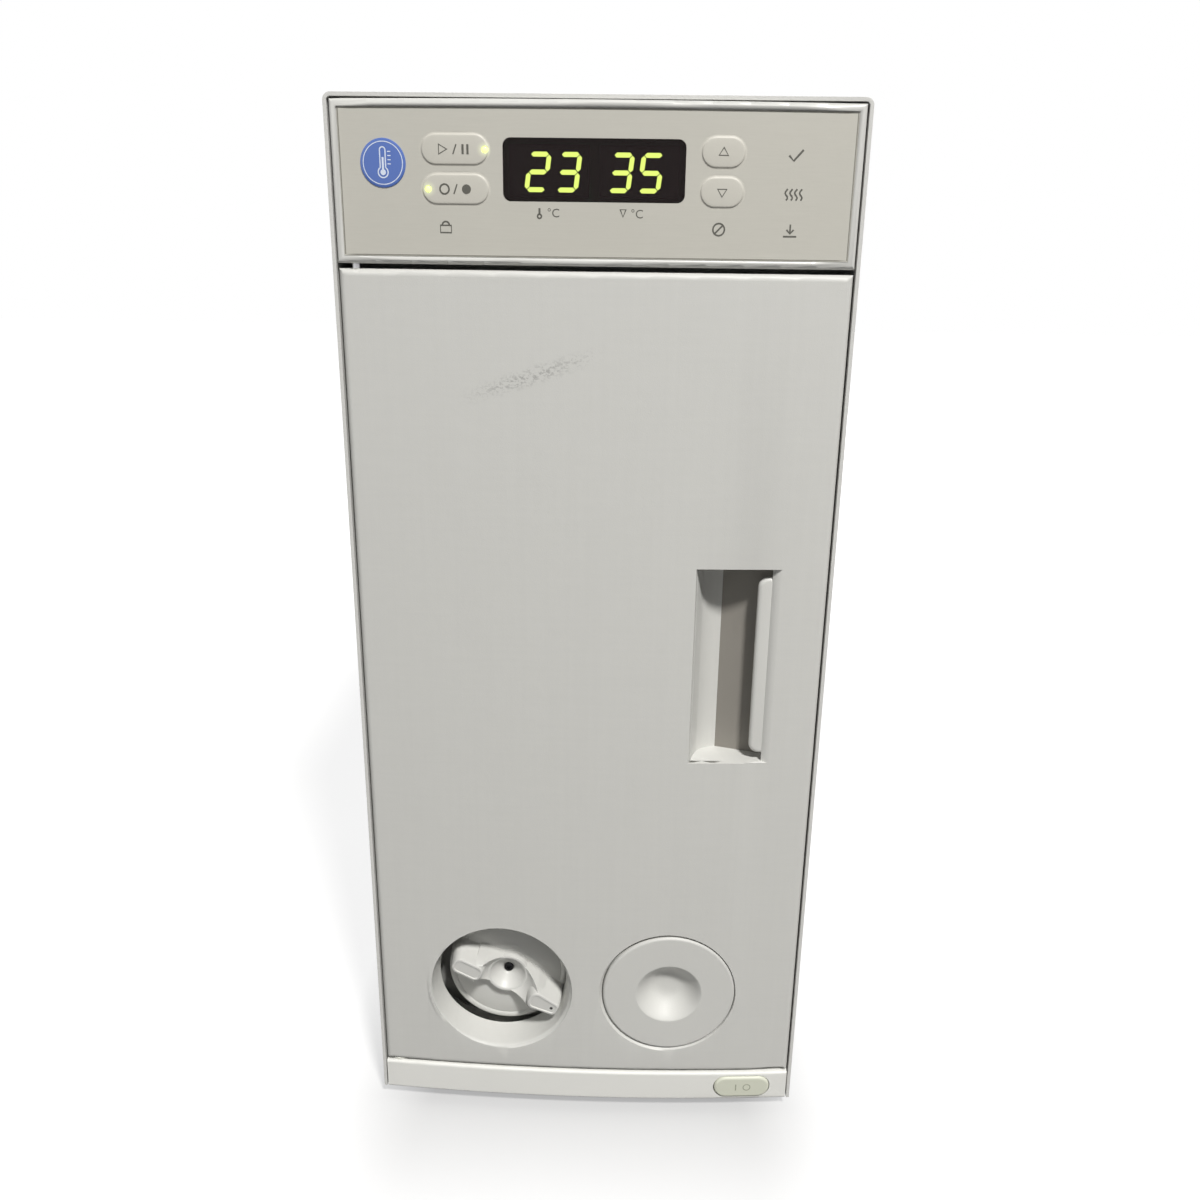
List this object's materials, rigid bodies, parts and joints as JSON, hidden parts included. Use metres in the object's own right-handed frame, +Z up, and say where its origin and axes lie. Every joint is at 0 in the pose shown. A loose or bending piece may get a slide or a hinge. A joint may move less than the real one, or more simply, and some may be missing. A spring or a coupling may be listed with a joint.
{
  "type": "hplc column oven",
  "caption": "Tall bench oven for chromatography columns with a hinged door, valve knob, round plug and key panel.",
  "frame": {"origin": "on the floor under the middle of the oven's box", "axes": "+X to the right, -Y towards the user in front, +Z up"},
  "size_m": [0.225, 0.42, 0.5124],
  "materials": {
    "cover_paint": "fine textured paint",
    "frame_paint": "smooth paint",
    "zinc_steel": "zinc plated",
    "stainless": "brushed",
    "screw_steel": "bright plated",
    "foot_rubber": "matt",
    "magnet": "sintered, dark",
    "door_plastic": "fine grained moulding",
    "pocket_plastic": "grey brown moulding",
    "button_plastic": "cream moulding",
    "knob_plastic": "satin moulding",
    "key_plastic": "satin moulding",
    "overlay_film": "printed film",
    "smoked_window": "smoked, clear",
    "digit_light": "lit segments",
    "lamp_lens": "lit lens",
    "black_plastic": "moulded",
    "terminal_plastic": "moulded",
    "circuit_board": "lacquered board",
    "bush_plastic": "natural white",
    "tray_plastic": "smooth moulding",
    "pipe_plastic": "translucent white",
    "valve_ring": "tan machined plastic",
    "foam": "closed cell foam",
    "silicone": "soft white",
    "aluminium": "mill finish",
    "heater_sheath": "heat tinted",
    "motor_case": "black paint"
  },
  "bodies": {
    "cabinet": {"outer_cover": "cover_paint", "cover_screws": "screw_steel", "base_pan": "zinc_steel", "feet": "foot_rubber", "foot_screws": "screw_steel", "front_frame": "frame_paint", "catch_magnets": "magnet", "bottom_rail": "door_plastic", "hinge_pins": "screw_steel", "power_switch": "black_plastic", "rear_panel": "cover_paint", "side_grommets": "foot_rubber", "valve_body": "stainless", "valve_clamp_ring": "valve_ring", "valve_fittings": "stainless", "sample_loop": "stainless", "oven_liner": "stainless", "insulation_slabs": "foam", "air_baffle": "stainless", "heater_element": "heater_sheath", "fan_motor": "motor_case", "motor_plate": "zinc_steel", "column_clips": "bush_plastic", "clip_screws": "screw_steel", "drip_tray": "tray_plastic", "drain_pipe": "pipe_plastic", "leak_sensor": "black_plastic", "temperature_probe": "stainless", "thermal_cutout": "black_plastic", "panel_bezel": "door_plastic", "panel_overlay": "overlay_film", "display_window": "smoked_window", "digit_modules": "digit_light", "indicator_lamps": "lamp_lens", "control_board": "circuit_board", "board_pillars": "screw_steel", "main_board": "circuit_board", "power_supply": "aluminium", "power_inlet": "black_plastic", "signal_terminals": "terminal_plastic"},
    "door": {"door_shell": "door_plastic", "handle_pocket": "pocket_plastic", "handle_grip": "door_plastic", "door_inner_panel": "stainless", "door_screws": "screw_steel", "door_insulation": "foam", "door_gasket": "silicone", "strike_plates": "zinc_steel", "hinge_bushes": "bush_plastic"},
    "plug": {"blank_plug": "door_plastic"},
    "knob": {"valve_knob": "knob_plastic", "knob_screw": "screw_steel", "valve_shaft": "stainless"},
    "fan": {"fan_wheel": "aluminium"},
    "key_upper_left": {"upper_left_key": "key_plastic"},
    "key_lower_left": {"lower_left_key": "key_plastic"},
    "key_up": {"up_key": "key_plastic"},
    "key_down": {"down_key": "key_plastic"},
    "power_press": {"power_button": "button_plastic"},
    "fuse_tray": {"fuse_drawer": "black_plastic"}
  },
  "joints": [
    {"name": "door_hinge", "type": "hinge", "parent": "cabinet", "child": "door", "pos_m": [-0.1031, -0.201, 0.23525], "axis": [0, 0, -1], "range_deg": [0, 105]},
    {"name": "plug_pull", "type": "slide", "parent": "door", "child": "plug", "axis": [0, -1, 0], "range_m": [0, 0.022]},
    {"name": "knob_turn", "type": "hinge", "parent": "cabinet", "child": "knob", "pos_m": [-0.0436, -0.19179, 0.0777], "axis": [0, -1, 0], "range_deg": [0, 60]},
    {"name": "fan_spin", "type": "hinge", "parent": "cabinet", "child": "fan", "pos_m": [0, 0.0513, 0.2775], "axis": [0, 1, 0], "continuous": true},
    {"name": "upper_left_key_press", "type": "slide", "parent": "cabinet", "child": "key_upper_left", "axis": [0, 1, 0], "range_m": [0, 0.0012], "stiffness_N_per_m": 600},
    {"name": "lower_left_key_press", "type": "slide", "parent": "cabinet", "child": "key_lower_left", "axis": [0, 1, 0], "range_m": [0, 0.0012], "stiffness_N_per_m": 600},
    {"name": "up_key_press", "type": "slide", "parent": "cabinet", "child": "key_up", "axis": [0, 1, 0], "range_m": [0, 0.0012], "stiffness_N_per_m": 600},
    {"name": "down_key_press", "type": "slide", "parent": "cabinet", "child": "key_down", "axis": [0, 1, 0], "range_m": [0, 0.0012], "stiffness_N_per_m": 600},
    {"name": "power_button_press", "type": "slide", "parent": "cabinet", "child": "power_press", "axis": [0, 1, 0], "range_m": [0, 0.003], "stiffness_N_per_m": 500},
    {"name": "fuse_drawer_slide", "type": "slide", "parent": "cabinet", "child": "fuse_tray", "axis": [0, 1, 0], "range_m": [0, 0.018]}
  ]
}
